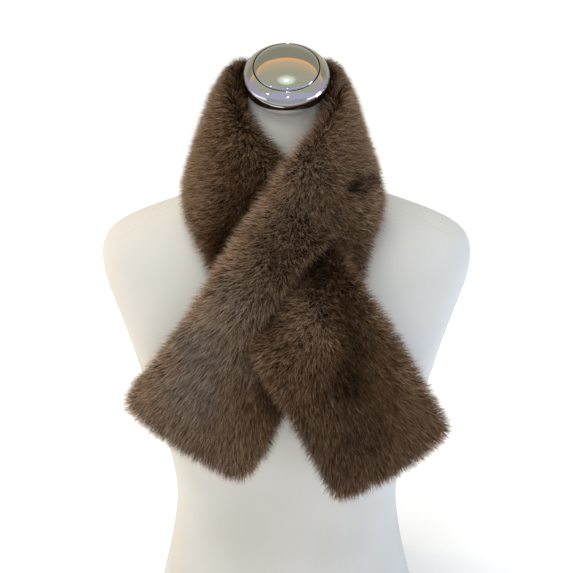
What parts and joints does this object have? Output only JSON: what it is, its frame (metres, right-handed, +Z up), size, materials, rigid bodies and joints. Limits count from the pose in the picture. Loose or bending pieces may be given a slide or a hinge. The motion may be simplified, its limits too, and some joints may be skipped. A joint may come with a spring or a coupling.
{
  "type": "fur collar wrap on a dress form",
  "caption": "Long brown fur collar wrap, pulled through its own slit, shown on a limbless linen dress form with a chrome neck cap.",
  "frame": {"origin": "centre of the dress form's flat base", "axes": "+Z up the form, -Y out of its front, +X to the viewer's right"},
  "size_m": [0.386, 0.2669, 0.6252],
  "materials": {
    "fur": "dense short fur with a soft sheen",
    "linen_cover": "matt fine linen weave",
    "cap_chrome": "polished"
  },
  "bodies": {
    "root": {"form_torso": "linen_cover", "neck_cap": "cap_chrome", "wrap_back": "fur", "wrap_front_left": "fur", "wrap_front_over": "fur", "tail_right": "fur"}
  },
  "joints": []
}
